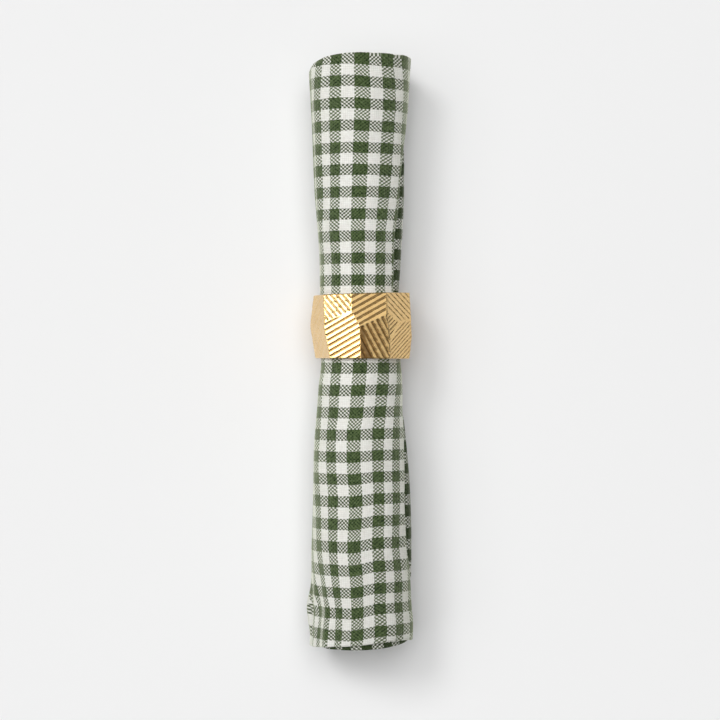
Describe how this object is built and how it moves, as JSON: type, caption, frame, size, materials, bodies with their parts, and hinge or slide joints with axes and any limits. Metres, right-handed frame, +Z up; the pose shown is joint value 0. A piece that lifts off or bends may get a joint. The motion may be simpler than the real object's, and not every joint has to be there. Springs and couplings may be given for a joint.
{
  "type": "rolled napkin in a napkin ring",
  "caption": "Gingham dinner napkin folded in half, rolled and held at its waist by a faceted, ribbed cast brass napkin ring.",
  "frame": {"origin": "centre of the bounding box's bottom, on the surface that the roll lies on", "axes": "+Y along the roll towards its folded end, +Z up from the surface"},
  "size_m": [0.0447, 0.2535, 0.0431],
  "materials": {
    "cloth": "matt woven cotton, green and cream gingham",
    "ring": "cast, satin polished on the ribs and darker in the grooves"
  },
  "bodies": {
    "root": {"napkin": "cloth", "ring": "ring"}
  },
  "joints": []
}
